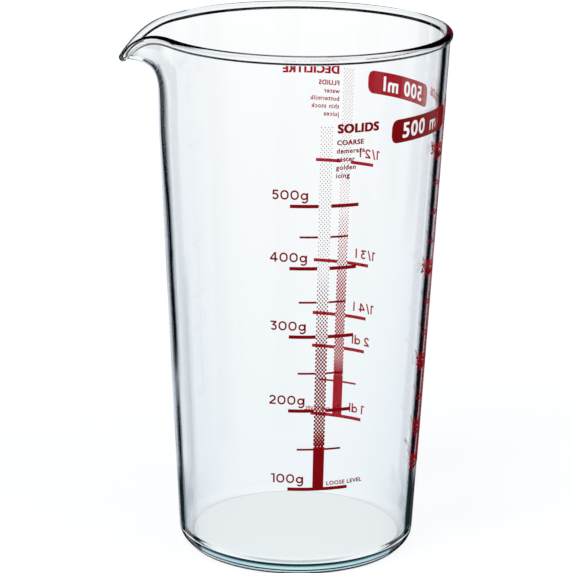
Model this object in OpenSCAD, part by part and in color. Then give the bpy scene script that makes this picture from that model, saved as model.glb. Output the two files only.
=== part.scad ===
// Measuring jug: one tapered clear glass with a beaded rim and a pulled pouring lip,
// and three red enamel scales fired on to the outside of its wall.
// Millimetres, +Z up. The origin is the centre of the underside, on the glass's axis.
// A direction round the jug is an angle turned from the front (-Y) towards +X.

/* [Glass] */
// Height from the underside to the top of the rim
jug_h = 165; // [150:1:190]
// Outer diameter of the wall, carried straight down to the underside
base_d = 74; // [66:0.5:82]
// Outer diameter of the wall, carried straight up to the rim
rim_d = 90.7; // [84:0.1:98]
// Thickness of the wall
wall = 2; // [1.4:0.1:3.2]
// Thickness of the bottom
floor_t = 3.2; // [2:0.1:6]
// Outer corner radius at the foot
foot_r = 4.4; // [2:0.1:8]
// Inner corner radius at the bottom of the well
well_r = 3; // [1:0.1:7]
// How far the rim's bead stands out from the wall
bead_out = 0.6; // [0.2:0.1:1.2]
// Fillet between the wall and the bead
bead_fillet = 0.3; // [0.2:0.1:1.5]

/* [Pouring lip] */
// Direction of the lip
lip_turn = 267.5; // [240:0.5:300]
// How far the lip's tip reaches out past the rim
lip_reach = 10.6; // [6:0.1:14]
// How far the lip's tip hangs below the rim
lip_drop = 8.7; // [4:0.1:10]
// Half of the angle of rim that is pulled into the lip
lip_half = 33; // [26:0.5:42]
// Rounding of the tip, as an angle of rim
lip_round = 5.3; // [3:0.1:9]
// How far below the rim the wall starts to flare
lip_depth = 17; // [14:0.5:24]
// Depth of the hollow that the pull leaves under the lip
neck_in = 0.9; // [0:0.1:1.5]
// Distance of the hollow's middle below the rim
neck_drop = 19; // [14:0.5:24]
// Half of the hollow's height
neck_half = 13; // [8:0.5:16]

/* [Scales] */
// Thickness of the enamel
enamel_t = 0.12; // [0.05:0.01:0.3]
// Direction of the sugar scale's bar
sugar_turn = 9.6; // [0:0.2:20]
// Direction of the flour scale's bar
flour_turn = 84.3; // [70:0.1:95]
// Direction of the liquid scale's bar
liquid_turn = 159; // [150:0.5:170]
// Weight of loose flour in grams per millilitre
flour_density = 0.52; // [0.5:0.01:0.65]
// Distance of the bars' tops below the rim
bar_gap = 21; // [20:0.5:30]
// Half of the angle that a bar takes up
bar_half = 2.5; // [1.5:0.1:3.5]
// Half of the angle that a labelled mark takes up
major_half = 13.8; // [10:0.1:16]
// Half of the angle that a mark between takes up
minor_half = 9.85; // [6:0.05:12]
// Thickness of a labelled mark
major_t = 1.05; // [0.6:0.05:1.6]
// Thickness of a mark between
minor_t = 0.6; // [0.3:0.05:1]

/* [Numerals] */
// Height of the numerals
cap_h = 2.95; // [2:0.05:4]
// Stroke of the numerals, as a share of their height
stroke = 0.165; // [0.1:0.005:0.2]
// Space between characters, as a share of their height
tracking = 0.17; // [0.05:0.01:0.25]
// Angle between a bar's middle and the end of its numerals
label_turn = 6.7; // [5:0.1:10]
// Height of the numerals' foot above the middle of their mark
label_lift = 2; // [1:0.1:4]

/* [Badges] */
// Width of a badge
badge_w = 30.5; // [20:0.5:35]
// Height of a badge
badge_h = 7.2; // [5:0.1:9]
// Corner radius of a badge
badge_r = 2.2; // [0.5:0.1:2.4]
// Distance of a badge's middle below the rim, where the numerals leave room for it
badge_drop = 24.5; // [24:0.5:40]
// Least gap between a badge and the numerals, marks and rim above and below it
badge_gap = 1.5; // [0.5:0.1:4]
// Direction of the front badge
front_badge_turn = 57; // [48:0.1:60]
// Direction of the rear badge
rear_badge_turn = 129.9; // [126:0.1:138]

/* [Hidden] */
$fn = 96;

glass_colour = [0.86, 0.93, 0.93, 0.45];
enamel_colour = [0.49, 0.0, 0.05];

// Wall cone: outer radius at a height, and the wall's thickness measured level
taper = (rim_d - base_d) / 2 / jug_h;
wall_level = wall * sqrt(1 + taper * taper);
wall_lean = atan(taper);
function outer_r(z) = base_d / 2 + taper * z;
function inner_r(z) = outer_r(z) - wall_level;

// Rim bead: its radius, its centre's height and its offset from the wall's middle
bead_r = (wall + bead_out) / 2;
bead_z = jug_h - bead_r;
bead_shift = bead_r - wall / 2;
// Fillet under the bead: its centre lies this far below the bead's, tangent to bead and wall
fillet_drop = sqrt(pow(bead_r + bead_fillet, 2) - pow(wall / 2 - bead_shift + bead_fillet, 2));
fillet_turn = atan2(fillet_drop, wall / 2 - bead_shift + bead_fillet);

// Exponents of the lip's flare down the wall and of its droop towards the tip
lip_flare = 2;
lip_droop = 1.8;

// The lip's shell starts here, just under the flare and the hollow, and runs down inside the wall
shell_z = jug_h - max(lip_depth + bead_r, neck_drop + neck_half) - 1;
shell_sink = 1;

// Grid of the lip's shell: columns crowd towards the lip, and the shell lies inside the wall
columns = 96;
crowding = 0.4;
widest_step = 360 / columns * (1 + crowding);
seam = rim_d / 2 * (1 - cos(widest_step / 2)) + 0.02;
wall_rows = 11;
fillet_rows = 2;
bead_rows = 9;
arc_steps = 10;

// Scale marks: content in millilitres, and label
sugar_majors = [[105, "100g"], [216, "200g"], [326, "300g"], [432, "400g"], [532, "500g"]];
sugar_minors = [for (i = [1 : len(sugar_majors) - 1]) (sugar_majors[i - 1][0] + sugar_majors[i][0]) / 2];
flour_majors = [for (g = [50, 75, 125, 200, 300]) [g / flour_density, str(g, "g")]];
flour_minors = [for (g = [100, 150, 175, 225, 250, 275]) g / flour_density];
liquid_majors = [[100, "1 dl"], [200, "2 dl"], [250, "1/4 l"], [1000 / 3, "1/3 l"], [500, "1/2 l"]];
liquid_minors = [150];
bar_top = jug_h - bar_gap;

// Radius of the well at a height, with its corner as an arc tangent to floor and wall
well_corner_z = floor_t + well_r;
well_corner_r = inner_r(well_corner_z - well_r * sin(wall_lean)) - well_r * cos(wall_lean);
function well_radius(z) =
    let (sunk = well_corner_z - z)
    sunk > well_r * sin(wall_lean)
        ? well_corner_r + sqrt(max(0, well_r * well_r - sunk * sunk))
        : inner_r(z);

// Content of the well up to a height in millilitres, summed over thin slices
slices = 60;
function total(list, i = 0) = i == len(list) ? 0 : list[i] + total(list, i + 1);
function content(z) =
    let (step = (z - floor_t) / slices)
    total([for (i = [0 : slices - 1]) PI * pow(well_radius(floor_t + (i + 0.5) * step), 2) * step]) / 1000;

// Height at which the well holds a content, by halving the interval
function level(ml, low = floor_t, high = jug_h, turns = 24) =
    turns == 0 ? (low + high) / 2
    : let (half_way = (low + high) / 2)
      content(half_way) < ml ? level(ml, half_way, high, turns - 1) : level(ml, low, half_way, turns - 1);

// Height of the badges: above the highest numerals, or below their mark where the rim leaves no room
top_mark = level(max([for (mark = concat(flour_majors, liquid_majors)) mark[0]]));
badge_over = top_mark + label_lift + cap_h + badge_gap + badge_h / 2;
badge_under = top_mark - major_t / 2 - badge_gap - badge_h / 2;
badge_limit = bead_z - fillet_drop - badge_gap - badge_h / 2;
badge_z = badge_over > badge_limit ? badge_under : max(jug_h - badge_drop, badge_over);

// Arc points round a centre, from one angle to another
function arc(centre, r, from, to, steps) =
    [for (i = [0 : steps]) let (a = from + (to - from) * i / steps) centre + r * [cos(a), sin(a)]];

// Lip: share of the full pull at an angle from its middle. The plan is two tangents of the rim
// that meet in a rounded tip.
function lip_share(a) =
    let (open = max(0, lip_half - sqrt(a * a + lip_round * lip_round)))
    (1 / cos(open) - 1) / (1 / cos(lip_half - lip_round) - 1);
function lip_fade(z) = pow(max(0, 1 - (bead_z - z) / lip_depth), lip_flare);
function neck_fade(z) = pow(max(0, 1 - pow((jug_h - z - neck_drop) / neck_half, 2)), 2);

// Middle of the glass's thickness at an angle from the lip and at a height of the plain cone
function mid_point(a, z) =
    let (
        share = lip_share(a),
        fade = lip_fade(z),
        r = outer_r(z) - wall_level / 2 + share * (lip_reach * fade - neck_in * neck_fade(z)),
        turn = lip_turn + a
    )
    [r * sin(turn), -r * cos(turn), z - lip_drop * pow(share, lip_droop) * fade];

// Outward normal and upward tangent there, from small steps along the surface
function unit(v) = v / norm(v);
function rise(a, z) = unit(mid_point(a, z + 0.01) - mid_point(a, z - 0.01));
function outward(a, z) = unit(cross(mid_point(a + 0.05, z) - mid_point(a - 0.05, z), rise(a, z)));

// One column of the shell: up the outer wall, round the bead and down the inner wall
function shell_column(a) =
    let (
        half_wall = wall / 2 - seam,
        top = mid_point(a, bead_z),
        out = outward(a, bead_z),
        up = rise(a, bead_z),
        bead = arc([bead_shift, 0], bead_r, -fillet_turn, 180, bead_rows),
        fillet_centre = [wall / 2 + bead_fillet, -fillet_drop],
        fillet = arc(fillet_centre, bead_fillet, 180, 180 - fillet_turn, fillet_rows),
        low = shell_z - shell_sink,
        high = bead_z - fillet_drop,
        heights = [for (i = [0 : wall_rows]) low + (high - low) * sin(90 * i / wall_rows)]
    )
    concat(
        [for (z = heights) mid_point(a, z) + half_wall * outward(a, z)],
        [for (i = [1 : fillet_rows]) top + fillet[i][0] * out + fillet[i][1] * up],
        [for (i = [1 : bead_rows - 1]) top + bead[i][0] * out + bead[i][1] * up],
        [for (i = [wall_rows : -1 : 0]) mid_point(a, heights[i]) - half_wall * outward(a, heights[i])]
    );

// Rim and lip as one closed shell of columns
module lip_shell() {
    turns = [
        for (i = [0 : columns - 1])
            let (u = 360 * (i + 0.5) / columns - 180)
                u - crowding * sin(u) * 180 / PI
    ];
    grid = [for (a = turns) shell_column(a)];
    rows = len(grid[0]);
    function corner(i, j) = (i % columns) * rows + j % rows;
    polyhedron(
        points = [for (column = grid) each column],
        faces = [
            for (i = [0 : columns - 1], j = [0 : rows - 1])
                each [
                    [corner(i, j), corner(i, j + 1), corner(i + 1, j + 1)],
                    [corner(i, j), corner(i + 1, j + 1), corner(i + 1, j)]
                ]
        ]
    );
}

// Foot, bottom and wall up to the lip's shell, turned about the axis
module turned_body() {
    foot_z = foot_r;
    foot_c = outer_r(foot_z - foot_r * sin(wall_lean)) - foot_r * cos(wall_lean);
    rotate_extrude()
        polygon(concat(
            [[0, 0]],
            arc([foot_c, foot_z], foot_r, -90, -wall_lean, arc_steps),
            [[outer_r(shell_z), shell_z], [inner_r(shell_z), shell_z]],
            arc([well_corner_r, well_corner_z], well_r, -wall_lean, -90, arc_steps),
            [[0, floor_t]]
        ));
}

// Strip of enamel on the wall between two directions and two heights
module strip(from, to, low, high) {
    rotate([0, 0, from - 90])
        rotate_extrude(angle = to - from)
            polygon([
                [outer_r(low), low],
                [outer_r(low) + enamel_t, low],
                [outer_r(high) + enamel_t, high],
                [outer_r(high), high]
            ]);
}

// Skin of enamel all round the wall between two heights
module skin(low, high) {
    rotate_extrude()
        polygon([
            [outer_r(low), low],
            [outer_r(low) + enamel_t, low],
            [outer_r(high) + enamel_t, high],
            [outer_r(high), high]
        ]);
}

// Stands a flat outline up against the wall at a direction and a height
module stand(turn, z) {
    reach = 4;
    rotate([0, 0, turn])
        translate([0, -outer_r(z) + reach, z])
            rotate([90, 0, 0])
                linear_extrude(2 * reach)
                    children();
}

// Bar of a scale: it stands on the lowest mark
module bar(turn, majors) {
    strip(turn - bar_half, turn + bar_half, level(majors[0][0]) + major_t / 2, bar_top);
}

// Two halves of a mark, on either side of the bar
module split_mark(turn, half_turn, z, t) {
    strip(turn - half_turn, turn - bar_half, z - t / 2, z + t / 2);
    strip(turn + bar_half, turn + half_turn, z - t / 2, z + t / 2);
}

// Labelled marks: the lowest runs on under the bar
module major_marks(turn, majors) {
    foot = level(majors[0][0]);
    strip(turn - major_half, turn + major_half, foot - major_t / 2, foot + major_t / 2);
    for (i = [1 : len(majors) - 1])
        split_mark(turn, major_half, level(majors[i][0]), major_t);
}

// Marks between the labelled ones
module minor_marks(turn, minors) {
    for (ml = minors)
        split_mark(turn, minor_half, level(ml), minor_t);
}

// Band of a ring between two angles
module bow(centre, r, from, to) {
    translate(centre)
        intersection() {
            difference() {
                circle(r);
                circle(r - stroke);
            }
            polygon(concat([[0, 0]], arc([0, 0], 2 * r, from, to, 8)));
        }
}

// Whole ring
module ring(centre, r) {
    translate(centre)
        difference() {
            circle(r);
            circle(r - stroke);
        }
}

// Upright oval with straight sides, drawn in by an inset
module oval(r, inset) {
    polygon(concat(
        arc([r, 1 - r], r - inset, 0, 180, arc_steps),
        arc([r, r], r - inset, 180, 360, arc_steps)
    ));
}

// Character widths in numeral heights
function width(c) =
    c == "0" ? 0.84 : c == "1" ? 0.4 : c == "2" ? 0.68 : c == "3" ? 0.7 : c == "4" ? 0.8
    : c == "5" ? 0.68 : c == "7" ? 0.7 : c == "g" ? 0.76 : c == "d" ? 0.76 : c == "/" ? 0.5
    : c == "l" ? stroke : 0.2;

// Characters drawn with an even stroke, one numeral height tall
module character(c) {
    if (c == "0") {
        difference() {
            oval(0.42, 0);
            oval(0.42, stroke);
        }
    } else if (c == "1") {
        translate([0.4 - stroke, 0])
            square([stroke, 1]);
        polygon([[0, 0.82], [0, 0.96], [0.4 - stroke, 1], [0.4 - stroke / 2, 1], [0.4 - stroke / 2, 0.86]]);
    } else if (c == "2") {
        bow([0.34, 0.66], 0.34, -42, 165);
        polygon([
            [0, stroke], [0.45, 0.56], [0.585, 0.44],
            [0.25, stroke], [0.25, stroke / 2], [0, stroke / 2]
        ]);
        square([0.68, stroke]);
    } else if (c == "3") {
        bow([0.37, 0.33], 0.33, -150, 95);
        polygon([
            [0.24, 0.62], [0.47, 1 - stroke / 2], [0.67, 1 - stroke / 2], [0.67, 1 - stroke],
            [0.43, 0.64], [0.39, 0.66 - stroke], [0.24, 0.66 - stroke]
        ]);
        translate([0.05, 1 - stroke])
            square([0.62, stroke]);
    } else if (c == "4") {
        difference() {
            polygon([[0, 0.2], [0, 0.36], [0.45, 1], [0.63, 1], [0.63, 0.2]]);
            polygon([[0.2, 0.2 + stroke], [0.63 - stroke, 0.2 + stroke], [0.63 - stroke, 0.78]]);
        }
        translate([0.63 - stroke, 0])
            square([stroke, 0.3]);
        translate([0.5, 0.2])
            square([0.3, stroke]);
    } else if (c == "5") {
        bow([0.34, 0.33], 0.34, -155, 130);
        polygon([[0.1, 1], [0.1 + stroke, 1], [0.07 + stroke, 0.56], [0.05, 0.47]]);
        translate([0.1, 1 - stroke])
            square([0.55, stroke]);
    } else if (c == "7") {
        polygon([
            [0.14, 0], [0.14 + stroke * 1.1, 0], [0.7, 0.88],
            [0.7, 1 - stroke / 2], [0.52, 1 - stroke / 2]
        ]);
        translate([0, 1 - stroke])
            square([0.7, stroke]);
    } else if (c == "g") {
        ring([0.36, 0.36], 0.36);
        translate([0.76 - stroke, 0])
            square([stroke, 0.72]);
        bow([0.4, 0], 0.36, -145, 0);
    } else if (c == "d") {
        ring([0.36, 0.36], 0.36);
        translate([0.76 - stroke, 0])
            square([stroke, 1.05]);
    } else if (c == "l") {
        square([stroke, 1.05]);
    } else if (c == "/") {
        polygon([[0, -0.05], [stroke, -0.05], [0.5, 1.05], [0.5 - stroke, 1.05]]);
    }
}

// Distance in numeral heights from a character's left side to the end of its label
function run(label, i) =
    total([for (j = [i : len(label) - 1]) width(label[j]) + (j > i ? tracking : 0)]);

// Labels that end short of their bar, each character turned to face outwards
module numerals(turn, majors) {
    for (mark = majors) {
        foot = level(mark[0]) + label_lift;
        label = mark[1];
        r = outer_r(foot);
        intersection() {
            for (i = [0 : len(label) - 1])
                if (label[i] != " ")
                    let (middle = cap_h * (run(label, i) - width(label[i]) / 2))
                        stand(turn - label_turn - middle / r * 180 / PI, foot)
                            scale(cap_h)
                                translate([-width(label[i]) / 2, 0])
                                    character(label[i]);
            skin(foot - cap_h / 2, foot + 1.2 * cap_h);
        }
    }
}

// Plain patch with rounded corners
module badge(turn) {
    intersection() {
        stand(turn, badge_z)
            union() {
                square([badge_w - 2 * badge_r, badge_h], center = true);
                square([badge_w, badge_h - 2 * badge_r], center = true);
                for (x = [-1, 1], y = [-1, 1])
                    translate([x * (badge_w / 2 - badge_r), y * (badge_h / 2 - badge_r)])
                        circle(badge_r);
            }
        skin(badge_z - badge_h, badge_z + badge_h);
    }
}

module glass_body() {
    color(glass_colour)
        union() {
            turned_body();
            lip_shell();
        }
}

module sugar_bar() { color(enamel_colour) bar(sugar_turn, sugar_majors); }
module sugar_major_marks() { color(enamel_colour) major_marks(sugar_turn, sugar_majors); }
module sugar_minor_marks() { color(enamel_colour) minor_marks(sugar_turn, sugar_minors); }
module sugar_numerals() { color(enamel_colour) numerals(sugar_turn, sugar_majors); }
module flour_bar() { color(enamel_colour) bar(flour_turn, flour_majors); }
module flour_major_marks() { color(enamel_colour) major_marks(flour_turn, flour_majors); }
module flour_minor_marks() { color(enamel_colour) minor_marks(flour_turn, flour_minors); }
module flour_numerals() { color(enamel_colour) numerals(flour_turn, flour_majors); }
module liquid_bar() { color(enamel_colour) bar(liquid_turn, liquid_majors); }
module liquid_major_marks() { color(enamel_colour) major_marks(liquid_turn, liquid_majors); }
module liquid_minor_marks() { color(enamel_colour) minor_marks(liquid_turn, liquid_minors); }
module liquid_numerals() { color(enamel_colour) numerals(liquid_turn, liquid_majors); }
module front_badge() { color(enamel_colour) badge(front_badge_turn); }
module rear_badge() { color(enamel_colour) badge(rear_badge_turn); }

glass_body();
sugar_bar();
sugar_major_marks();
sugar_minor_marks();
sugar_numerals();
flour_bar();
flour_major_marks();
flour_minor_marks();
flour_numerals();
liquid_bar();
liquid_major_marks();
liquid_minor_marks();
liquid_numerals();
front_badge();
rear_badge();
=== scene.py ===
"""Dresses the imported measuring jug: clear glass, fired enamel print, a pale stage and the camera."""

import math

import bpy
import numpy as np
from bpy.props import FloatProperty, FloatVectorProperty, IntProperty, PointerProperty
from mathutils import Matrix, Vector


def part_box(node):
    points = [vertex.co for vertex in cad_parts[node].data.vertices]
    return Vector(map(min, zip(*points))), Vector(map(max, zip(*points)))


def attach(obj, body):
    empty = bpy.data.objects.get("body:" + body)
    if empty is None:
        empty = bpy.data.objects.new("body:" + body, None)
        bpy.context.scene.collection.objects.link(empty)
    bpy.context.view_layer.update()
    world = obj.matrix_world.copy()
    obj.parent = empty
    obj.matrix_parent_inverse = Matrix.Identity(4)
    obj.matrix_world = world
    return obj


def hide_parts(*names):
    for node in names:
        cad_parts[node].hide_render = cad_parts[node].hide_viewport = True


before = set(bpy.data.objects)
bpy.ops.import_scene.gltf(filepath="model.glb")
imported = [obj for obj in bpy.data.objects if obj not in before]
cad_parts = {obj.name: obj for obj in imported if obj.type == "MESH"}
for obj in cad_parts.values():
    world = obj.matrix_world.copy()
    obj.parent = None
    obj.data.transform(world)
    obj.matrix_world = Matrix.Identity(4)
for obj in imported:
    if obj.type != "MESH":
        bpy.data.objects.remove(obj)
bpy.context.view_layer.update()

bl_info = {
    "name": "Measuring Jug",
    "version": (1, 0, 0),
    "blender": (4, 5, 0),
    "location": "View3D > Sidebar > Jug",
    "description": "Builds a clear glass measuring jug with enamel scales around its solid model",
    "category": "Add Mesh",
}

SCALES = ("sugar", "flour", "liquid")
# Height of the built-in typeface's capitals, as a share of its size
CAP_SHARE = 0.73
# Width of the picture in pixels, and the camera's focal length in the same
PICTURE_WIDTH, FOCAL_PIXELS = 573, 2732.6794

# Rings of the glass's underside, which has a material of its own
UNDERSIDE_ROWS = 7
# How steeply the lip's droop grows towards its tip
DROOP_POWER = 1.8

# Headings: drop below the rim, drop of the first line below the heading, and turns from the bar's middle
HEADING_DROP, FIRST_LINE_DROP = 0.0232, 0.0036
HEADING_TURN, NOTE_TURN = math.radians(4.0), math.radians(3.8)
# Height of the note's letters in millimetres
NOTE_CAP = 1.3
# Extra thickness of upright strokes in millimetres, and growth of the outline as a share of the capitals
HEADING_WEIGHT, FIRST_LINE_WEIGHT = 0.36, 0.12
BOLD_SWELL, FINE_SWELL = 0.012, 0.03

# Shaded bars: half size of a dot at depths down the bar, and the exponent of its outline by half size
DOT_DEPTHS = (0.0, 0.44, 0.50, 0.64, 0.70, 0.94, 1.0)
DOT_HALVES = (0.25, 0.27, 0.36, 0.46, 0.55, 0.61, 0.9)
DOT_POWERS = ((0.30, 0.50), (2.0, 7.0))
# Shares of the enamel's thickness, a little apart so that no two faces lie in one another
EVEN_ROWS, ODD_ROWS, SOLID_STRIP = 1.0, 0.985, 1.01

# Badges in millimetres: width, height and corner radius
BADGE_PLATE = (30.5, 7.2, 2.2)
# Their figures: height, weight and spacing, and how far left of the middle they stand
BADGE_CAP, BADGE_WEIGHT, BADGE_SPACING, BADGE_LEFT = 4.7, 0.36, 1.16, 0.9

# Dark gaps between the studio's screens: middle, half width, foot and top in degrees
STUDIO_GAPS = (
    (32, 10.5, -40, 90), (-32, 10.5, -19.8, 90), (-29.5, 7.5, -40, -19.5), (-62, 5, -40, -19),
    (-57.5, 10, -12, 90), (-122.5, 10, -12, 90), (102.5, 10, -18.5, 90), (167.5, 10, -18.5, 90),
)
# The gap that only the skin's own reflections show
FLANK_GAP = (13.5, 12.5, -40, 8)
# Width of a gap's soft edge to each side
GAP_SOFT = math.radians(0.8)

# Dark strips round the jug's axis: two radii, two heights and the half angle
LOW_STRIP = ((0.15, 0.15), (-0.110, -0.022), math.pi)
BACK_SLOPE = ((0.042, 0.230), (0.008, -0.109), math.radians(60))
HIGH_STRIP = ((0.060, 0.060), (0.190, 0.163), math.pi)
# Heights between which the low strip fades in
LOW_STRIP_FADE = (-0.022, -0.036)
# Radii between which a painted contact shadow darkens the floor under the foot
CONTACT_SHADOW_RADII = (0.0349, 0.0342)


def length(name, description, default):
    """A length in metres that the user can change."""
    return FloatProperty(name=name, description=description, default=default, min=0.0, precision=5,
                         subtype="DISTANCE", unit="LENGTH")


def angle(name, description, degrees):
    """An angle that the user can change, written here in degrees."""
    return FloatProperty(name=name, description=description, default=math.radians(degrees),
                         subtype="ANGLE", unit="ROTATION")


def colour(name, description, default):
    """A linear colour that the user can change."""
    return FloatVectorProperty(name=name, description=description, default=default, size=3,
                               min=0.0, max=1.0, subtype="COLOR")


def share(name, description, default, highest=1.0):
    """A plain number from zero up that the user can change."""
    return FloatProperty(name=name, description=description, default=default, min=0.0, max=highest, precision=4)


class JugGlassSettings(bpy.types.PropertyGroup):
    """Sizes of the glass, in the solid model's own frame."""

    height: length("Height", "From the underside to the top of the rim", 0.165)
    base: length("Base Diameter", "Outer diameter of the wall, carried down to the underside", 0.074)
    rim: length("Rim Diameter", "Outer diameter of the wall, carried up to the rim", 0.0907)
    wall: length("Wall", "Thickness of the wall", 0.002)
    floor: length("Floor", "Thickness of the bottom", 0.0032)
    foot_radius: length("Foot Radius", "Outer corner radius at the foot", 0.0044)
    well_radius: length("Well Radius", "Inner corner radius at the bottom of the well", 0.003)
    bead_out: length("Bead", "How far the rim's bead stands out from the wall", 0.00075)
    bead_fillet: length("Bead Fillet", "Fillet between the wall and the bead", 0.0003)
    lip_turn: angle("Lip Direction", "Direction of the lip, turned from the front towards the right", 267.5)
    lip_reach: length("Lip Reach", "How far the lip's tip reaches out past the rim", 0.0106)
    lip_drop: length("Lip Drop", "How far the lip's tip hangs below the rim", 0.0087)
    lip_half: angle("Lip Half Angle", "Half of the angle of rim that is pulled into the lip", 33.0)
    lip_round: angle("Lip Rounding", "Rounding of the tip, as an angle of rim", 5.3)
    lip_depth: length("Lip Depth", "How far below the rim the wall starts to flare", 0.017)
    neck_in: length("Neck Hollow", "Depth of the hollow that the pull leaves under the lip", 0.00045)
    neck_drop: length("Neck Drop", "Distance of the hollow's middle below the rim", 0.019)
    neck_half: length("Neck Half Height", "Half of the hollow's height", 0.013)
    lip_thin: share("Lip Thinning", "Share of the wall that the pull takes away inside, below the lip", 0.15)
    seat: length("Enamel Seat", "How far the glass closes over the enamel's inner side", 0.000015)
    columns: IntProperty(name="Columns", description="Steps round the jug", default=440, min=96, max=600)
    tint: colour("Tint", "What thick glass lets through", (0.62, 0.88, 0.92))
    density: share("Tint Density", "Strength of the tint for each metre of glass", 14.0, 200.0)


class JugPrintSettings(bpy.types.PropertyGroup):
    """Layout and colour of the enamel print."""

    thickness: length("Thickness", "Thickness of the enamel", 0.00012)
    sugar_turn: angle("Sugar Direction", "Direction of the sugar scale's bar", 9.6)
    flour_turn: angle("Flour Direction", "Direction of the flour scale's bar", 84.3)
    liquid_turn: angle("Liquid Direction", "Direction of the liquid scale's bar", 159.0)
    front_badge_turn: angle("Front Badge Direction", "Direction of the badge beside the sugar scale", 57.0)
    rear_badge_turn: angle("Rear Badge Direction", "Direction of the badge beside the flour scale", 129.9)
    bar_half: angle("Bar Half Angle", "Half of the angle that a bar takes up", 2.5)
    dot_pitch: angle("Dot Pitch", "Angle between dots in one row", 1.41)
    dot_row: length("Dot Rows", "Height from one row of dots to the next", 0.00063)
    solid_share: share("Solid Share", "Share of the bar's height that is solid", 0.113)
    heading: length("Heading", "Height of a heading's letters", 0.0027)
    line: length("Line", "Height of the letters in the lines below a heading", 0.0015)
    line_step: length("Line Step", "Distance from one line to the next", 0.0025)
    spacing: share("Spacing", "Distance from letter to letter, as a share of the typeface's own", 1.12, 2.0)
    outer: colour("Enamel", "Colour of the enamel's open side", (0.160, 0.0002, 0.0014))
    # The brighter colour of the side fused to the glass is painted light: it stands in for light that shines
    # through the thin enamel from behind.
    inner: colour("Enamel On Glass", "Colour of the enamel's side that is fused to the glass", (0.52, 0.003, 0.016))


class JugStageSettings(bpy.types.PropertyGroup):
    """Camera, background and lamps."""

    pitch: FloatProperty(name="Pitch", description="How far the camera looks down", default=0.284,
                         subtype="ANGLE", unit="ROTATION")
    roll: FloatProperty(name="Roll", description="How far the camera is turned about its own axis",
                        default=0.0125, subtype="ANGLE", unit="ROTATION")
    distance: length("Distance", "From the camera to the point it looks at", 0.856102)
    target: FloatVectorProperty(name="Target", description="Point that the camera looks at", size=3,
                                default=(-0.0038566, 0.0, 0.0825035), subtype="TRANSLATION", unit="LENGTH")
    focal: share("Focal Length", "Focal length in widths of the picture", FOCAL_PIXELS / PICTURE_WIDTH, 20.0)
    floor_size: length("Floor", "Radius of the floor", 3.0)
    key: share("Key Lamp", "Power of the lamp at the front left", 20.0, 500.0)
    fill: share("Fill Lamp", "Power of the lamp at the front right", 10.0, 500.0)


def settings(name):
    """One of the scene's setting groups, by name."""
    return getattr(bpy.context.scene, name)


def mesh_object(name, points, loops, starts, smooth=True):
    """New object at the origin from flat arrays: points, corner indices and the first corner of each face."""
    mesh = bpy.data.meshes.new(name)
    mesh.vertices.add(len(points))
    mesh.vertices.foreach_set("co", np.ascontiguousarray(points, dtype=np.float32).ravel())
    mesh.loops.add(len(loops))
    mesh.loops.foreach_set("vertex_index", np.ascontiguousarray(loops, dtype=np.int32))
    mesh.polygons.add(len(starts))
    mesh.polygons.foreach_set("loop_start", np.ascontiguousarray(starts, dtype=np.int32))
    mesh.polygons.foreach_set("use_smooth", np.full(len(starts), smooth))
    mesh.update(calc_edges=True)
    mesh.validate()
    piece = bpy.data.objects.new(name, mesh)
    bpy.context.scene.collection.objects.link(piece)
    return piece


def join_faces(*groups):
    """Flat corner list and face starts of several arrays of faces, each array with one corner count."""
    loops = np.concatenate([g.ravel() for g in groups])
    sizes = np.concatenate([np.full(len(g), g.shape[1]) for g in groups])
    return loops, np.concatenate([[0], np.cumsum(sizes)[:-1]])


def seat_on(piece, material, slot, *nodes):
    """Gives a piece its material and its body, and hides the solid nodes that it stands for; the slot is not used.
    """
    piece.data.materials.clear()
    piece.data.materials.append(material)
    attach(piece, "root")
    if nodes:
        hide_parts(*nodes)


def wall_radius(jug, z):
    """Outer radius of the wall's cone at a height: half the base plus the taper times the height."""
    return jug.base / 2 + (jug.rim - jug.base) / 2 / jug.height * z


def on_wall(jug, turn, z, out):
    """Points on the cone at a direction (turned from -Y towards +X), a height and a distance out from it."""
    r = wall_radius(jug, z) + out
    return np.stack(np.broadcast_arrays(r * np.sin(turn), -r * np.cos(turn), z), -1)


def bead_facts(jug):
    """Bead radius, its centre's height, its offset from the wall's middle, and the fillet's drop and turn."""
    r = (jug.wall + jug.bead_out) / 2
    shift = r - jug.wall / 2
    across = jug.wall / 2 - shift + jug.bead_fillet
    drop = math.sqrt((r + jug.bead_fillet) ** 2 - across ** 2)
    return r, jug.height - r, shift, drop, math.atan2(drop, across)


def lip_pull(jug, a):
    """How far the rim is pulled out at an angle from the lip, as a share of the tip. The lip's plan is two
    tangents of the rim that meet in a rounded tip: share = (1/cos(open) - 1), scaled to 1 at the tip, with
    open = half - sqrt(a^2 + round^2)."""
    opening = np.maximum(0, jug.lip_half - np.sqrt(a ** 2 + jug.lip_round ** 2))
    return (1 / np.cos(opening) - 1) / (1 / math.cos(jug.lip_half - jug.lip_round) - 1)


def wall_middle(jug, a, z):
    """Middle of the glass at an angle from the lip and a height of the plain cone. The lip's pull fades down
    the wall as a square, and its tip droops."""
    pull = lip_pull(jug, a)
    bead_z = bead_facts(jug)[1]
    fade = np.maximum(0, 1 - (bead_z - z) / jug.lip_depth) ** 2
    neck = np.maximum(0, 1 - ((jug.height - z - jug.neck_drop) / jug.neck_half) ** 2) ** 2
    taper = (jug.rim - jug.base) / 2 / jug.height
    r = wall_radius(jug, z) - jug.wall * math.sqrt(1 + taper ** 2) / 2
    r = r + pull * (jug.lip_reach * fade - jug.neck_in * neck)
    turn = jug.lip_turn + a
    return np.stack([r * np.sin(turn), -r * np.cos(turn), z - jug.lip_drop * pull ** DROOP_POWER * fade], -1)


def unit(v):
    """Vectors of length one."""
    return v / np.linalg.norm(v, axis=-1, keepdims=True)


def wall_frame(jug, a, z):
    """Middle of the glass with its outward and upward directions, from small steps along the surface."""
    step_z, step_a = 1e-5, 1e-3
    up = unit(wall_middle(jug, a, z + step_z) - wall_middle(jug, a, z - step_z))
    along = wall_middle(jug, a + step_a, z) - wall_middle(jug, a - step_a, z)
    return wall_middle(jug, a, z), unit(np.cross(along, up)), up


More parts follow.
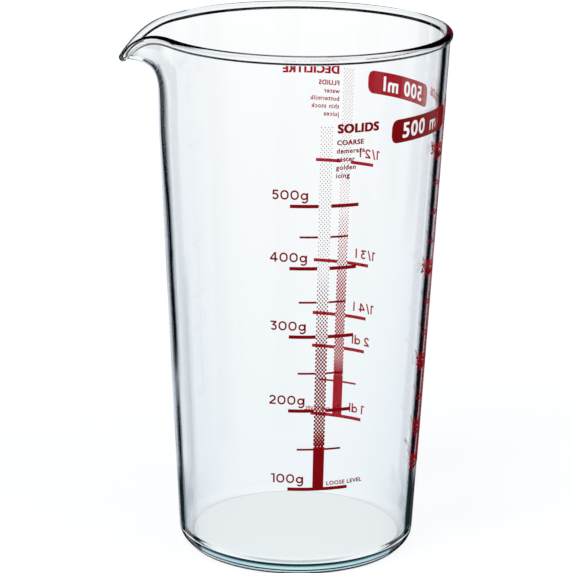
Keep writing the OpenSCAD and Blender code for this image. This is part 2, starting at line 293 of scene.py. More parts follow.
def glass_surface(jug):
    """Rows of points of the whole glass, as a closed profile carried round the axis: out along the underside,
    round the foot, up the outer wall, over the bead, down the inner wall, round the well and in to the
    floor's middle. Columns crowd towards the lip: a = u - 0.4 sin u. The wall is thinned inside below the lip,
    and the floor has a faint ripple."""
    crowd, corner_gap, ripple = 0.4, 0.0008, 0.00001
    seat_fade, thin_from, thin_to = 0.005, 0.008, 0.055
    u = np.linspace(-math.pi, math.pi, jug.columns, endpoint=False)
    a = (u - crowd * np.sin(u))[None, :]
    turn = jug.lip_turn + a
    lean = math.atan((jug.rim - jug.base) / 2 / jug.height)
    bead_r, bead_z, shift, drop, fillet_turn = bead_facts(jug)

    def ring(r, z):
        """Level rings of given radii and heights."""
        r, z = np.asarray(r)[:, None], np.asarray(z)[:, None]
        return np.stack(np.broadcast_arrays(r * np.sin(turn), -r * np.cos(turn), z), -1)

    foot_c = wall_radius(jug, jug.foot_radius * (1 - math.sin(lean))) - jug.foot_radius * math.cos(lean)
    underside = ring(np.linspace(0.12, 0.97, UNDERSIDE_ROWS) * foot_c, np.zeros(UNDERSIDE_ROWS))
    t = np.linspace(-math.pi / 2, -lean, 15)
    foot = ring(foot_c + jug.foot_radius * np.cos(t), jug.foot_radius * (1 + np.sin(t)))

    low, high = jug.foot_radius + corner_gap, bead_z - drop
    z = (low + (high - low) * np.sin(np.linspace(0, math.pi / 2, 68)))[:, None] + 0 * a
    middle, out, _ = wall_frame(jug, a + 0 * z, z)
    seat = jug.seat * np.clip((high - z) / seat_fade, 0, 1)
    outer = middle + out * (jug.wall / 2 + seat)[..., None]

    middle, out, up = wall_frame(jug, a, bead_z + 0 * a)
    t = np.linspace(math.pi, math.pi - fillet_turn, 6)[1:-1]
    across = np.concatenate([jug.wall / 2 + jug.bead_fillet * (1 + np.cos(t)),
                             shift + bead_r * np.cos(np.linspace(-fillet_turn, math.pi, 24))])
    along = np.concatenate([-drop + jug.bead_fillet * np.sin(t),
                            bead_r * np.sin(np.linspace(-fillet_turn, math.pi, 24))])
    bead = middle + across[:, None, None] * out + along[:, None, None] * up

    well_z = jug.floor + jug.well_radius
    wall_level = jug.wall / math.cos(lean)
    well_c = wall_radius(jug, well_z - jug.well_radius * math.sin(lean)) - wall_level
    well_c = well_c - jug.well_radius * math.cos(lean)
    low = well_z + corner_gap
    z = (low + (bead_z - low) * np.sin(np.linspace(math.pi / 2, 0, 62)[1:]))[:, None] + 0 * a
    middle, out, _ = wall_frame(jug, a + 0 * z, z)
    below = bead_z - z
    fade = np.clip(below / thin_from, 0, 1) * np.clip(1 - below / thin_to, 0, 1)
    thin = jug.lip_thin * lip_pull(jug, a) * fade
    inner = middle - out * (jug.wall * (0.5 - thin))[..., None]
    t = np.linspace(-lean, -math.pi / 2, 13)
    well = ring(well_c + jug.well_radius * np.cos(t), well_z + jug.well_radius * np.sin(t))

    r = np.linspace(0.97, 0.04, 22)
    swell = ripple * np.cos(9 * math.pi * r) * np.sin(math.pi * r)
    floor = ring(r * well_c, jug.floor + swell)
    return np.concatenate([underside, foot, outer, bead, inner, well, floor])


def closed_grid(rows):
    """Points and faces of a grid that closes round its columns and ends in a pole at each end."""
    count, columns = rows.shape[:2]
    index = np.arange(count * columns).reshape(count, columns)
    following = np.roll(index, -1, axis=1)
    quads = np.stack([index[:-1], following[:-1], following[1:], index[1:]], -1).reshape(-1, 4)
    poles = np.stack([rows[0].mean(0), rows[-1].mean(0)])
    first, last = count * columns, count * columns + 1
    start = np.stack([np.full(columns, first), following[0], index[0]], -1)
    end = np.stack([index[-1], following[-1], np.full(columns, last)], -1)
    return np.concatenate([rows.reshape(-1, 3), poles]), quads, np.concatenate([start, end])


def mesh_arrays(piece):
    """Points and triangles of an object as it stands after its modifiers."""
    graph = bpy.context.evaluated_depsgraph_get()
    mesh = bpy.data.meshes.new_from_object(piece.evaluated_get(graph))
    mesh.calc_loop_triangles()
    points = np.empty(len(mesh.vertices) * 3, dtype=np.float32)
    mesh.vertices.foreach_get("co", points)
    faces = np.empty(len(mesh.loop_triangles) * 3, dtype=np.int32)
    mesh.loop_triangles.foreach_get("vertices", faces)
    bpy.data.meshes.remove(mesh)
    return points.reshape(-1, 3).astype(float), faces.reshape(-1, 3)


def combined(first, second, operation):
    """Points and triangles of two flat solids, joined or cut."""
    pieces = [mesh_object("blank", points, *join_faces(faces), smooth=False) for points, faces in (first, second)]
    step = pieces[0].modifiers.new("step", "BOOLEAN")
    step.solver, step.operation, step.object = "EXACT", operation, pieces[1]
    made = mesh_arrays(pieces[0])
    for piece in pieces:
        bpy.data.meshes.remove(piece.data)
    return made


def lettering(words, cap, weight, swell, spacing):
    """Flat letters as points and triangles, in millimetres and one millimetre deep, from the built-in
    typeface. A swell grows their outline by a share of the capitals' height. A weight thickens the upright
    strokes: the letters are joined with a copy set beside them."""
    curve = bpy.data.curves.new("letters", "FONT")
    curve.body, curve.size = words, cap / CAP_SHARE
    curve.offset, curve.space_character = swell * cap, spacing
    curve.extrude, curve.resolution_u = 0.5, 5
    text = bpy.data.objects.new("letters", curve)
    bpy.context.scene.collection.objects.link(text)
    points, faces = mesh_arrays(text)
    bpy.data.curves.remove(curve)
    for step in ((weight, 0.0, 0.0), (0.0, 0.5 * weight, 0.0)) if weight else ():
        points, faces = combined((points, faces), (points + step, faces), "UNION")
    return points, faces


def wrapped(jug, flat, turn, foot, thickness):
    """Flat points in millimetres laid on the wall: x runs round it from a direction, y up it from a height and
    z, from -0.5 to 0.5, through the enamel."""
    z = foot + 0.001 * flat[:, 1]
    turns = turn + 0.001 * flat[:, 0] / wall_radius(jug, foot)
    return on_wall(jug, turns, z, (flat[:, 2] + 0.5) * thickness)


def heading_lines(jug, pr, turn, words, lines, note, note_foot):
    """Points and triangles of a heading, the lines below it and a small note, left of which the bar stands."""
    top = jug.height - HEADING_DROP
    start = turn + HEADING_TURN
    rows = [(words, 1000 * pr.heading, HEADING_WEIGHT, BOLD_SWELL, start, top)]
    for i, text in enumerate(lines):
        weight, swell = (0.0, FINE_SWELL) if i else (FIRST_LINE_WEIGHT, BOLD_SWELL)
        rows.append((text, 1000 * pr.line, weight, swell, start, top - FIRST_LINE_DROP - i * pr.line_step))
    rows.append((note, NOTE_CAP, 0.0, FINE_SWELL, turn + NOTE_TURN, note_foot))
    points, faces, count = [], [], 0
    for text, cap, weight, swell, direction, foot in rows:
        flat, triangles = lettering(text, cap, weight, swell, pr.spacing)
        points.append(wrapped(jug, flat, direction, foot, pr.thickness))
        faces.append(triangles + count)
        count += len(flat)
    return np.concatenate(points), np.concatenate(faces)


def dot_bar(jug, pr, turn, low, high):
    """Prisms of one shaded bar. Rows of four and three dots alternate. In units of the step to the next
    staggered dot, a dot is |x|^p + |y|^p = h^p: h grows down the bar from a quarter to a half, where the dots
    meet at their corners, and on towards 1, where they close; p rises with it from a round dot to a square one.
    The lowest part is one solid strip."""
    sides = 8
    solid = low + pr.solid_share * (high - low)
    rows = np.arange(int((high - solid) / pr.dot_row))
    row, place = np.meshgrid(rows, np.arange(4), indexing="ij")
    even = row % 2 == 0
    keep = even | (place < 3)
    across = (place - np.where(even, 1.5, 1.0))[keep] * pr.dot_pitch
    z = high - pr.dot_row * (row[keep] + 0.5)
    depth = (high - z) / (high - solid)
    half = np.interp(depth, DOT_DEPTHS, DOT_HALVES)
    power = np.interp(half, *DOT_POWERS)[:, None]
    t = np.arange(sides) * 2 * math.pi / sides
    c, s = np.cos(t)[None, :], np.sin(t)[None, :]
    reach = half[:, None] / (np.abs(c) ** power + np.abs(s) ** power) ** (1 / power)
    edge_turn = turn + across[:, None] + reach * c * pr.dot_pitch / 2
    edge_z = z[:, None] + reach * s * pr.dot_row
    edge_turn = np.clip(edge_turn, turn - pr.bar_half, turn + pr.bar_half)
    edge_z = np.clip(edge_z, solid, high)
    inner = on_wall(jug, edge_turn, edge_z, 0.0)
    lift = np.where(even[keep], EVEN_ROWS, ODD_ROWS)[:, None]
    outer = on_wall(jug, edge_turn, edge_z, lift * pr.thickness)
    points = np.concatenate([inner, outer], 1)
    base = np.arange(len(points))[:, None, None] * 2 * sides
    k = np.arange(sides)
    n = (k + 1) % sides
    walls = (base + np.stack([k, n, n + sides, k + sides], -1)[None]).reshape(-1, 4)
    caps = (base + np.stack([k[::-1], k + sides])[None]).reshape(-1, sides)
    dots = points.reshape(-1, 3)

    across = np.linspace(-pr.bar_half, pr.bar_half, 13)
    heights = np.linspace(low, solid + pr.dot_row / 2, 9)
    strip, strip_faces = strip_solid(jug, turn + across, heights, SOLID_STRIP * pr.thickness)
    return np.concatenate([dots, strip]), walls, caps, strip_faces + len(dots)


def strip_solid(jug, turns, heights, thickness):
    """Closed strip on the wall over a grid of directions and heights: an outer and an inner sheet with sides."""
    turn, z = np.meshgrid(turns, heights, indexing="ij")
    sheets = np.concatenate([on_wall(jug, turn, z, thickness).reshape(-1, 3),
                             on_wall(jug, turn, z, 0.0).reshape(-1, 3)])
    index = np.arange(turn.size).reshape(turn.shape)
    cells = np.stack([index[:-1, :-1], index[1:, :-1], index[1:, 1:], index[:-1, 1:]], -1).reshape(-1, 4)
    border = np.concatenate([index[:, 0], index[-1, 1:], index[-2::-1, -1], index[0, -2:0:-1]])
    following = np.roll(border, -1)
    sides = np.stack([border, border + turn.size, following + turn.size, following], -1)
    return sheets, np.concatenate([cells, cells[:, ::-1] + turn.size, sides])


def node(tree, kind, **sockets):
    """New shader node with values set on its input sockets, by socket name."""
    made = tree.nodes.new(kind)
    for name, value in sockets.items():
        made.inputs[name.replace("_", " ")].default_value = value
    return made


def new_material(name):
    """Empty node material with its output node."""
    material = bpy.data.materials.new(name)
    material.use_nodes = True
    material.node_tree.nodes.clear()
    return material, material.node_tree, material.node_tree.nodes.new("ShaderNodeOutputMaterial")


def math_node(tree, operation, first, second=None):
    """Math node whose inputs are sockets or numbers."""
    made = tree.nodes.new("ShaderNodeMath")
    made.operation = operation
    for i, value in enumerate(v for v in (first, second) if v is not None):
        if isinstance(value, (int, float)):
            made.inputs[i].default_value = value
        else:
            tree.links.new(value, made.inputs[i])
    return made.outputs[0]


def mix_shader(tree, factor, first, second):
    """Shader socket that goes from one shader to another with a factor."""
    made = node(tree, "ShaderNodeMixShader")
    tree.links.new(factor, made.inputs["Fac"])
    tree.links.new(first, made.inputs[1])
    tree.links.new(second, made.inputs[2])
    return made.outputs["Shader"]


def mix_colour(tree, factor, first, second, blend="MIX"):
    """Colour socket that goes from one colour to another with a factor. Both are sockets or linear colours."""
    made = tree.nodes.new("ShaderNodeMix")
    made.data_type, made.blend_type = "RGBA", blend
    tree.links.new(factor, made.inputs["Factor"])
    for name, value in (("A", first), ("B", second)):
        if isinstance(value, bpy.types.NodeSocket):
            tree.links.new(value, made.inputs[name])
        else:
            made.inputs[name].default_value = (*value, 1)
    return made.outputs["Result"]


def through_or_off_glass(tree, path):
    """1 for rays that come through glass or off it."""
    return math_node(tree, "MAXIMUM", path.outputs["Is Transmission Ray"], path.outputs["Is Glossy Ray"])


def tint_by_depth(tree, jug, output):
    """Gives a glass its tint, which grows with the thickness."""
    depth = node(tree, "ShaderNodeVolumeAbsorption", Color=(*jug.tint, 1), Density=jug.density)
    tree.links.new(depth.outputs["Volume"], output.inputs["Volume"])


def ramp(tree, factor, stops):
    """Colour ramp fed by a socket, with stops of position and linear colour."""
    made = tree.nodes.new("ShaderNodeValToRGB")
    elements = made.color_ramp.elements
    for i, (position, rgb) in enumerate(stops):
        element = elements[i] if i < 2 else elements.new(position)
        element.position, element.color = position, (*rgb, 1.0)
    tree.links.new(factor, made.inputs["Fac"])
    return made.outputs["Color"]


def clear_glass(jug):
    """Fire-polished glass: a clear body with a faint tint by thickness and a slight waviness of its skin.
    Lamps pass through it, a little weakened."""
    material, tree, output = new_material("clear_glass")
    links = tree.links
    body = node(tree, "ShaderNodeBsdfPrincipled", Base_Color=(1, 1, 1, 1), Roughness=0.0, IOR=1.473,
                Transmission_Weight=1.0, Specular_Tint=(0.15, 0.15, 0.15, 1))
    place = node(tree, "ShaderNodeTexCoord")
    waves = node(tree, "ShaderNodeTexNoise", Scale=55.0, Detail=1.0, Roughness=0.4)
    links.new(place.outputs["Object"], waves.inputs["Vector"])
    bump = node(tree, "ShaderNodeBump", Strength=0.06, Distance=0.0006)
    links.new(waves.outputs["Fac"], bump.inputs["Height"])
    links.new(bump.outputs["Normal"], body.inputs["Normal"])
    through = node(tree, "ShaderNodeBsdfTransparent", Color=(0.95, 0.96, 0.96, 1))
    path = node(tree, "ShaderNodeLightPath")
    mix = mix_shader(tree, path.outputs["Is Shadow Ray"], body.outputs["BSDF"], through.outputs["BSDF"])
    links.new(mix, output.inputs["Surface"])
    tint_by_depth(tree, jug, output)
    return material


def resting_glass(jug):
    """The underside, which rests on the table: light passes from the glass into the table without a bend."""
    material, tree, output = new_material("resting_glass")
    body = node(tree, "ShaderNodeBsdfPrincipled", Base_Color=(1, 1, 1, 1), Roughness=0.0, IOR=1.0,
                Transmission_Weight=1.0)
    tree.links.new(body.outputs["BSDF"], output.inputs["Surface"])
    tint_by_depth(tree, jug, output)
    return material


def red_enamel(pr):
    """Fired enamel: glossy, slightly uneven in colour and skin, with painted light on the side that is fused to the
    glass: that side is painted brighter, standing in for light that shines through the thin enamel from behind.
    The side is told by the normal's direction against the jug's axis."""
    material, tree, output = new_material("red_enamel")
    links = tree.links
    place = node(tree, "ShaderNodeTexCoord")
    skin = node(tree, "ShaderNodeNewGeometry")
    level = node(tree, "ShaderNodeVectorMath")
    level.operation = "MULTIPLY"
    level.inputs[1].default_value = (1, 1, 0)
    links.new(place.outputs["Object"], level.inputs[0])
    away = node(tree, "ShaderNodeVectorMath")
    away.operation = "DOT_PRODUCT"
    links.new(level.outputs["Vector"], away.inputs[0])
    links.new(skin.outputs["Normal"], away.inputs[1])
    # Faces that point in towards the axis get the painted light: the brighter colour that stands in for light
    # shining through the enamel from behind.
    inside = math_node(tree, "LESS_THAN", away.outputs["Value"], 0.0)
    grain = node(tree, "ShaderNodeTexNoise", Scale=900.0, Detail=3.0, Roughness=0.6)
    links.new(place.outputs["Object"], grain.inputs["Vector"])
    uneven = math_node(tree, "MULTIPLY_ADD", grain.outputs["Fac"], 0.5)
    uneven.node.inputs[2].default_value = 0.75
    tone = node(tree, "ShaderNodeVectorMath")
    tone.operation = "SCALE"
    links.new(mix_colour(tree, inside, pr.outer, pr.inner), tone.inputs[0])
    links.new(uneven, tone.inputs["Scale"])
    body = node(tree, "ShaderNodeBsdfPrincipled", Roughness=0.25, IOR=1.5, Specular_IOR_Level=0.04)
    links.new(tone.outputs["Vector"], body.inputs["Base Color"])
    bump = node(tree, "ShaderNodeBump", Strength=0.15, Distance=0.00005)
    links.new(grain.outputs["Fac"], bump.inputs["Height"])
    links.new(bump.outputs["Normal"], body.inputs["Normal"])
    links.new(body.outputs["BSDF"], output.inputs["Surface"])
    return material


def enamel():
    """The print's one material, made on first use."""
    return bpy.data.materials.get("red_enamel") or red_enamel(settings("jug_print"))


class JUG_OT_glass(bpy.types.Operator):
    """Makes the clear glass: foot, wall, beaded rim and pouring lip in one closed surface"""

    bl_idname = "jug.glass"
    bl_label = "Glass"

    def execute(self, context):
        jug = settings("jug_glass")
        points, quads, caps = closed_grid(glass_surface(jug))
        piece = mesh_object("clear_glass_body", points, *join_faces(quads, caps))
        seat_on(piece, clear_glass(jug), "glass", "glass_body")
        piece.data.materials.append(resting_glass(jug))
        under = np.zeros(len(piece.data.polygons), dtype=np.int32)
        under[:UNDERSIDE_ROWS * jug.columns] = 1
        under[len(quads):len(quads) + jug.columns] = 1
        piece.data.polygons.foreach_set("material_index", under)
        return {"FINISHED"}


class JUG_OT_marks(bpy.types.Operator):
    """Gives the scales' marks and numerals their enamel"""

    bl_idname = "jug.marks"
    bl_label = "Marks and Numerals"

    def execute(self, context):
        for scale in SCALES:
            for group in ("major_marks", "minor_marks", "numerals"):
                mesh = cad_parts[f"{scale}_{group}"].data
                mesh.materials.clear()
                mesh.materials.append(enamel())
        return {"FINISHED"}


class JUG_OT_bars(bpy.types.Operator):
    """Makes each scale's bar, which fades upwards from solid enamel into dots"""

    bl_idname = "jug.bars"
    bl_label = "Shaded Bars"

    def execute(self, context):
        jug, pr = settings("jug_glass"), settings("jug_print")
        for scale in SCALES:
            low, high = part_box(f"{scale}_bar")
            points, walls, caps, strip = dot_bar(jug, pr, getattr(pr, f"{scale}_turn"), low[2], high[2])
            piece = mesh_object(f"{scale}_shaded_bar", points, *join_faces(walls, caps, strip), smooth=False)
            seat_on(piece, enamel(), "enamel", f"{scale}_bar")
        return {"FINISHED"}


class JUG_OT_headings(bpy.types.Operator):
    """Makes the lettering beside each scale: a heading, plain lines below it and a small note"""

    bl_idname = "jug.headings"
    bl_label = "Headings"

    # How far the note's foot lies above the bar's foot
    NOTE_LIFT = 0.0006
    WORDS = {
        "sugar": ("SOLIDS", ("COARSE", "demerara", "caster", "golden", "icing"), "LOOSE LEVEL"),
        "flour": ("SOLIDS", ("FINE", "plain white", "wheat", "barley", "corn"), "LOOSE LEVEL"),
        "liquid": ("DECILITRE", ("FLUIDS", "water", "buttermilk", "thin stock", "juices"), "EYE LEVEL"),
    }

    def execute(self, context):
        jug, pr = settings("jug_glass"), settings("jug_print")
        for scale in SCALES:
            low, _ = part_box(f"{scale}_bar")
            words, lines, note = self.WORDS[scale]
            turn = getattr(pr, f"{scale}_turn")
            points, faces = heading_lines(jug, pr, turn, words, lines, note, low[2] + self.NOTE_LIFT)
            piece = mesh_object(f"{scale}_heading", points, *join_faces(faces), smooth=False)
            seat_on(piece, enamel(), "enamel")
        return {"FINISHED"}


def badge_plate(width, height, corner):
    """Flat plate with round corners in millimetres: at x its half height is h - r + sqrt(r^2 - d^2), where d is
    how far x reaches into the corner. Columns stand close together, so that the plate can bend."""
    ends = width / 2 - corner * np.cos(np.linspace(0, math.pi / 2, 9))
    x = np.concatenate([np.linspace(0, width / 2 - corner, 14)[:-1], ends])
    x = np.unique(np.concatenate([-x, x]))
    x = np.clip(x, -width / 2 + 1e-3, width / 2 - 1e-3)
    into = np.maximum(0, np.abs(x) - (width / 2 - corner))
    half = height / 2 - corner + np.sqrt(np.maximum(corner ** 2 - into ** 2, 1e-6))
    top, low = np.stack([x, half], -1), np.stack([x, -half], -1)
    sheet = np.stack([low, top], 1).reshape(-1, 2)
    points = np.concatenate([np.c_[sheet, np.full(len(sheet), 0.5)], np.c_[sheet, np.full(len(sheet), -0.5)]])
    k = 2 * np.arange(len(x) - 1)
    cells = np.stack([k, k + 2, k + 3, k + 1], -1)
    n = len(sheet)
    border = np.concatenate([2 * np.arange(len(x)), 2 * np.arange(len(x))[::-1] + 1])
    following = np.roll(border, -1)
    sides = np.stack([border, border + n, following + n, following], -1)
    quads = np.concatenate([cells, cells[:, ::-1] + n, sides])
    return points, np.concatenate([quads[:, [0, 1, 2]], quads[:, [0, 2, 3]]])


class JUG_OT_badges(bpy.types.Operator):
    """Makes the two badges near the rim, with the jug's content cut out of the enamel"""

    bl_idname = "jug.badges"
    bl_label = "Badges"

    def execute(self, context):
        jug, pr = settings("jug_glass"), settings("jug_print")
        figures, triangles = lettering("500 ml", BADGE_CAP, BADGE_WEIGHT, BOLD_SWELL, BADGE_SPACING)
        figures = (figures - (figures.min(0) + figures.max(0)) / 2) * (1, 1, 3) - (BADGE_LEFT, 0, 0)
        points, faces = combined(badge_plate(*BADGE_PLATE), (figures, triangles), "DIFFERENCE")
        for name, turn in (("front_badge", pr.front_badge_turn), ("rear_badge", pr.rear_badge_turn)):
            low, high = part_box(name)
            placed = wrapped(jug, points, turn, (low[2] + high[2]) / 2, pr.thickness)
            piece = mesh_object(f"{name}_cut_out", placed, *join_faces(faces), smooth=False)
            seat_on(piece, enamel(), "enamel", name)
        return {"FINISHED"}


def between(tree, value, start, end):
    """Smooth step of a socket from 0 at one number to 1 at another, which may be the smaller one."""
    made = node(tree, "ShaderNodeMapRange", From_Min=start, From_Max=end)
    made.interpolation_type = "SMOOTHSTEP"
    tree.links.new(value, made.inputs["Value"])
    return made.outputs["Result"]


def studio_gap(tree, turn, rise, gap):
    """Share of darkness of one gap between the white screens: its middle, half width, foot and top in degrees.
    The turn is in radians and the rise is the sine of the elevation."""
    middle, half, foot, top = (math.radians(v) for v in gap)
    wrap = math_node(tree, "WRAP", math_node(tree, "SUBTRACT", turn, middle), math.pi)
    wrap.node.inputs[2].default_value = -math.pi
    across = between(tree, math_node(tree, "ABSOLUTE", wrap), half + GAP_SOFT, half - GAP_SOFT)
    above = between(tree, rise, math.sin(foot - GAP_SOFT), math.sin(foot + GAP_SOFT))
    made = math_node(tree, "MULTIPLY", across, above)
    if gap[3] < 90:
        below = between(tree, rise, math.sin(top + GAP_SOFT), math.sin(top - GAP_SOFT))
        made = math_node(tree, "MULTIPLY", made, below)
    return made


def white_world():
    """Studio round the jug. The camera sees plain white. Reflections and what is seen through the glass show
    white screens with dark gaps between them, dark overhead and a little darker underneath, so that the glass
    draws its edges. One gap more shows only in the skin's own reflections. Everything else gets an even
    light."""
    world = bpy.data.worlds.new("studio")
    world.use_nodes = True
    tree = world.node_tree
    tree.nodes.clear()
    links = tree.links
    output = tree.nodes.new("ShaderNodeOutputWorld")
    place = node(tree, "ShaderNodeTexCoord")
    split = node(tree, "ShaderNodeSeparateXYZ")
    links.new(place.outputs["Generated"], split.inputs[0])
    turn = math_node(tree, "ARCTAN2", split.outputs["X"], split.outputs["Y"])
    rise = split.outputs["Z"]
    side = math_node(tree, "MULTIPLY_ADD", turn, 2 / math.pi)
    side.node.inputs[2].default_value = 0.5
    screens = ramp(tree, side, [
        (0.0, (1.0, 1.0, 1.0)), (1.0, (1.0, 1.0, 1.0)), (0.15, (1.0, 1.0, 1.0)), (0.26, (0.60, 0.65, 0.74)),
        (0.30, (0.68, 0.72, 0.80)), (0.344, (0.81, 0.845, 0.905)), (0.378, (0.86, 0.89, 0.935)),
        (0.433, (0.90, 0.92, 0.95)), (0.478, (1.0, 1.0, 1.0)), (0.522, (1.0, 1.0, 1.0)),
        (0.572, (0.93, 0.945, 0.965)), (0.611, (0.85, 0.87, 0.92)), (0.70, (0.79, 0.82, 0.88)),
        (0.744, (0.75, 0.78, 0.85)), (0.85, (1.0, 1.0, 1.0)),
    ])
    height = math_node(tree, "MULTIPLY_ADD", rise, 0.5)
    height.node.inputs[2].default_value = 0.5
    bands = ramp(tree, height, [
        (0.0, (0.52, 0.62, 0.63)), (1.0, (0.004, 0.005, 0.006)), (0.025, (0.52, 0.62, 0.63)),
        (0.058, (0.85, 0.90, 0.92)), (0.095, (0.955, 0.985, 1.0)), (0.20, (0.955, 0.985, 1.0)),
        (0.255, (0.87, 0.905, 0.94)), (0.33, (0.885, 0.92, 0.945)), (0.41, (1.0, 1.0, 1.0)),
        (0.522, (1.0, 1.0, 1.0)), (0.537, (0.004, 0.005, 0.006)),
    ])
    lit = mix_colour(tree, between(tree, rise, -0.6, -0.47), bands, screens, "MULTIPLY")
    dark = studio_gap(tree, turn, rise, STUDIO_GAPS[0])
    for gap in STUDIO_GAPS[1:]:
        dark = math_node(tree, "MAXIMUM", dark, studio_gap(tree, turn, rise, gap))
    seen = mix_colour(tree, dark, lit, (0.003, 0.004, 0.007))
    path = node(tree, "ShaderNodeLightPath")
    skin = math_node(tree, "LESS_THAN", path.outputs["Transmission Depth"], 0.5)
    flank = math_node(tree, "MULTIPLY", skin, studio_gap(tree, turn, rise, FLANK_GAP))
    even = node(tree, "ShaderNodeBackground", Color=(1, 1, 1, 1), Strength=0.30)
    screen = node(tree, "ShaderNodeBackground", Strength=1.0)
    links.new(mix_colour(tree, flank, seen, (0.10, 0.06, 0.075)), screen.inputs["Color"])
    white = node(tree, "ShaderNodeBackground", Color=(1, 1, 1, 1), Strength=1.0)
    around = mix_shader(tree, through_or_off_glass(tree, path), even.outputs["Background"],
                        screen.outputs["Background"])
    whole = mix_shader(tree, path.outputs["Is Camera Ray"], around, white.outputs["Background"])
    links.new(whole, output.inputs["Surface"])
    return world


def white_floor():
    """Pale floor: part lit by the lamps, so that it keeps the shadow, part a painted white glow, which grows with
    the distance, so that the floor is painted lighter away from the jug. A painted contact shadow, a dark ring,
    marks where the foot touches it. What is seen through the glass or reflected in it looks past the floor to the
    studio."""
    material, tree, output = new_material("pale_floor")
    links = tree.links
    place = node(tree, "ShaderNodeTexCoord")
    reach = node(tree, "ShaderNodeVectorMath")
    reach.operation = "LENGTH"
    links.new(place.outputs["Object"], reach.inputs[0])
    away = reach.outputs["Value"]
    matt = node(tree, "ShaderNodeBsdfDiffuse", Color=(0.40, 0.41, 0.42, 1))
    # Painted glow: the floor gives off white light of its own, more of it further from the jug.
    plain = node(tree, "ShaderNodeEmission", Color=(1, 1, 1, 1))
    glow = node(tree, "ShaderNodeMapRange", From_Min=0.1, From_Max=1.2, To_Min=0.65, To_Max=0.95)
    links.new(away, glow.inputs["Value"])
    links.new(glow.outputs["Result"], plain.inputs["Strength"])
    table = node(tree, "ShaderNodeAddShader")
    links.new(matt.outputs["BSDF"], table.inputs[0])
    links.new(plain.outputs["Emission"], table.inputs[1])
    # Painted contact shadow: a dark ring under and round the foot.
    contact_shadow = node(tree, "ShaderNodeBsdfDiffuse", Color=(0.008, 0.010, 0.014, 1))
    both = mix_shader(tree, between(tree, away, *CONTACT_SHADOW_RADII), table.outputs["Shader"], contact_shadow.outputs["BSDF"])
    past = node(tree, "ShaderNodeBsdfTransparent", Color=(1, 1, 1, 1))
    clear = through_or_off_glass(tree, node(tree, "ShaderNodeLightPath"))
    links.new(mix_shader(tree, clear, both, past.outputs["BSDF"]), output.inputs["Surface"])
    return material


def turned_strip(name, radii, heights, half):
    """Strip carried round the jug's axis, between two radii and two heights, with its front side up or inwards.
    The half angle says how far it reaches to each side of the point behind the jug."""
    turn = np.linspace(-half, half, 97)[:, None]
    r, z = np.array([radii]), np.array([heights])
    points = np.stack(np.broadcast_arrays(r * np.sin(turn), r * np.cos(turn), z), -1).reshape(-1, 3)
    k = 2 * np.arange(len(turn) - 1)
    piece = mesh_object(name, points, *join_faces(np.stack([k, k + 2, k + 3, k + 1], -1)), smooth=False)
    piece.visible_camera = piece.visible_diffuse = piece.visible_glossy = piece.visible_shadow = False
    return piece


def dark_where(name, rgb, pick):
    """Material that shows a plain dark colour where a socket says 1, and lets all else pass."""
    material, tree, output = new_material(name)
    body = node(tree, "ShaderNodeEmission", Color=(*rgb, 1), Strength=1.0)
    past = node(tree, "ShaderNodeBsdfTransparent", Color=(1, 1, 1, 1))
    mix = mix_shader(tree, pick(tree), past.outputs["BSDF"], body.outputs["Emission"])
    tree.links.new(mix, output.inputs["Surface"])
    return material


def shade_strips():
    """Three dark strips that only the glass sees. One goes all round under the table and is met by what is seen
    edgeways through the bottom, which has passed two surfaces of glass when it gets there. One slopes down
    behind the jug, dark on its upper side, and is met by what the rim turns steeply down. One stands round the
    rim and is met by what the rim's lower edge turns up, after two surfaces or more."""
    def passed(tree):
        """How many surfaces of glass a ray has passed."""
        return node(tree, "ShaderNodeLightPath").outputs["Transmission Depth"]

    def edgeways(tree):
        """1 for rays that have passed two surfaces of glass, fading out towards the strip's upper edge."""
        two = math_node(tree, "COMPARE", passed(tree), 2.0)
        two.node.inputs[2].default_value = 0.5
        place = node(tree, "ShaderNodeSeparateXYZ")
        tree.links.new(node(tree, "ShaderNodeTexCoord").outputs["Object"], place.inputs[0])
        return math_node(tree, "MULTIPLY", two, between(tree, place.outputs["Z"], *LOW_STRIP_FADE))

    def across(tree):
        """1 for rays that have passed two surfaces of glass or more."""
        return math_node(tree, "GREATER_THAN", passed(tree), 1.5)

    def upper(tree):
        """1 on the front side."""
        return math_node(tree, "SUBTRACT", 1.0, node(tree, "ShaderNodeNewGeometry").outputs["Backfacing"])

    band = turned_strip("low_strip", *LOW_STRIP)
    band.data.materials.append(dark_where("dark_band", (0.010, 0.026, 0.028), edgeways))
    slope = turned_strip("back_slope", *BACK_SLOPE)
    slope.data.materials.append(dark_where("dark_slope", (0.006, 0.008, 0.010), upper))
    high = turned_strip("high_strip", *HIGH_STRIP)
    high.data.materials.append(dark_where("dark_strip", (0.004, 0.005, 0.007), across))
    return band, slope, high


def lamp(name, place, size, power):
    """Square area lamp that points at the jug's middle."""
    data = bpy.data.lights.new(name, "AREA")
    data.size, data.energy = size, power
    made = bpy.data.objects.new(name, data)
    target = np.array((0.0, 0.0, 0.08))
    back = unit(np.array(place) - target)
    right = unit(np.cross((0.0, 0.0, 1.0), back))
    axes = np.stack([right, np.cross(back, right), back], 1)
    made.matrix_world = Matrix.Translation(place) @ Matrix(axes.tolist()).to_4x4()
    made.visible_glossy = made.visible_transmission = False
    bpy.context.scene.collection.objects.link(made)


def floor_disc(radius):
    """Flat disc just below the foot, in rings that widen outwards as the square of their number."""
    drop = 0.00005
    turn = np.linspace(0, 2 * math.pi, 96, endpoint=False)[None, :]
    r = np.linspace(0.02, 1.0, 24)[:, None] ** 2 * radius
    rows = np.stack(np.broadcast_arrays(r * np.cos(turn), r * np.sin(turn), -drop + 0 * r), -1)
    index = np.arange(rows.shape[0] * rows.shape[1]).reshape(rows.shape[:2])
    following = np.roll(index, -1, axis=1)
    quads = np.stack([index[:-1], index[1:], following[1:], following[:-1]], -1).reshape(-1, 4)
    return mesh_object("pale_floor", rows.reshape(-1, 3), *join_faces(quads, index[:1]))


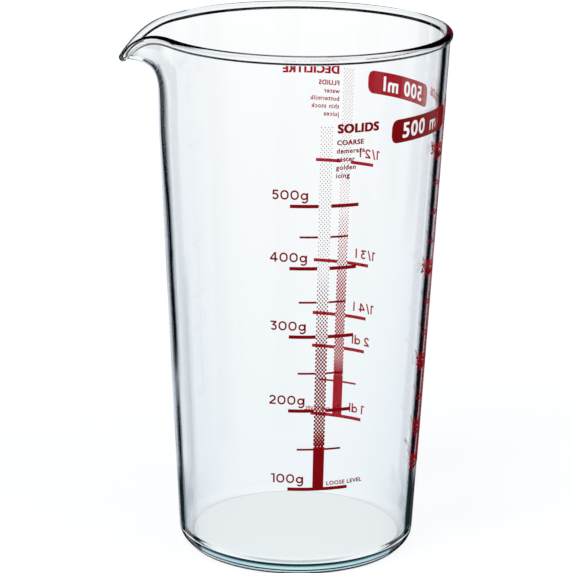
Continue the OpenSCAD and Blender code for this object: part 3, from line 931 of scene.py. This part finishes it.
def photo_camera(stage):
    """Camera in front of the jug that looks down at its target, turned a little about its own axis."""
    sensor = 36.0
    look = np.array([0.0, math.cos(stage.pitch), -math.sin(stage.pitch)])
    right = np.array([1.0, 0.0, 0.0])
    up = np.cross(right, look)
    c, s = math.cos(stage.roll), math.sin(stage.roll)
    axes = np.stack([c * right + s * up, -s * right + c * up, -look], 1)
    place = np.array(stage.target) - stage.distance * look
    data = bpy.data.cameras.new("camera")
    data.sensor_width, data.lens = sensor, sensor * stage.focal
    data.clip_start, data.clip_end = 0.01, 50.0
    camera = bpy.data.objects.new("camera", data)
    camera.matrix_world = Matrix.Translation(place.tolist()) @ Matrix(axes.tolist()).to_4x4()
    bpy.context.scene.collection.objects.link(camera)
    return camera


class JUG_OT_stage(bpy.types.Operator):
    """Makes the pale floor, the studio light and the camera"""

    bl_idname = "jug.stage"
    bl_label = "Stage"

    def execute(self, context):
        stage, scene = settings("jug_stage"), context.scene
        scene.view_settings.view_transform = "Standard"
        scene.world = white_world()
        floor = floor_disc(stage.floor_size)
        floor.data.materials.append(white_floor())
        for strip in shade_strips():
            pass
        lamp("key_lamp", (-0.75, -0.95, 1.25), 0.9, stage.key)
        lamp("fill_lamp", (1.1, -0.7, 0.75), 0.8, stage.fill)
        bpy.context.scene.camera = photo_camera(stage)
        return {"FINISHED"}


class JUG_PT_sidebar(bpy.types.Panel):
    """Sidebar panel with the jug's steps and settings"""

    bl_idname = "JUG_PT_sidebar"
    bl_label = "Measuring Jug"
    bl_space_type = "VIEW_3D"
    bl_region_type = "UI"
    bl_category = "Jug"

    def draw(self, context):
        for step in STEPS:
            self.layout.operator(step.bl_idname)
        for name in SETTING_GROUPS:
            group = settings(name)
            box = self.layout.box()
            for key in group.bl_rna.properties.keys():
                if key not in ("rna_type", "name"):
                    box.prop(group, key)


STEPS = (JUG_OT_glass, JUG_OT_marks, JUG_OT_bars, JUG_OT_headings, JUG_OT_badges, JUG_OT_stage)
SETTING_GROUPS = {"jug_glass": JugGlassSettings, "jug_print": JugPrintSettings, "jug_stage": JugStageSettings}


def register():
    """Registers the classes and hangs the settings on the scene."""
    for cls in (*SETTING_GROUPS.values(), *STEPS, JUG_PT_sidebar):
        bpy.utils.register_class(cls)
    for name, group in SETTING_GROUPS.items():
        setattr(bpy.types.Scene, name, PointerProperty(type=group))


def unregister():
    """Takes the settings and classes away again."""
    for name in SETTING_GROUPS:
        delattr(bpy.types.Scene, name)
    for cls in (JUG_PT_sidebar, *STEPS[::-1], *SETTING_GROUPS.values()):
        bpy.utils.unregister_class(cls)


def main():
    """Builds everything in order."""
    register()
    bpy.ops.jug.glass()
    bpy.ops.jug.marks()
    bpy.ops.jug.bars()
    bpy.ops.jug.headings()
    bpy.ops.jug.badges()
    bpy.ops.jug.stage()


if __name__ == "__main__":
    main()
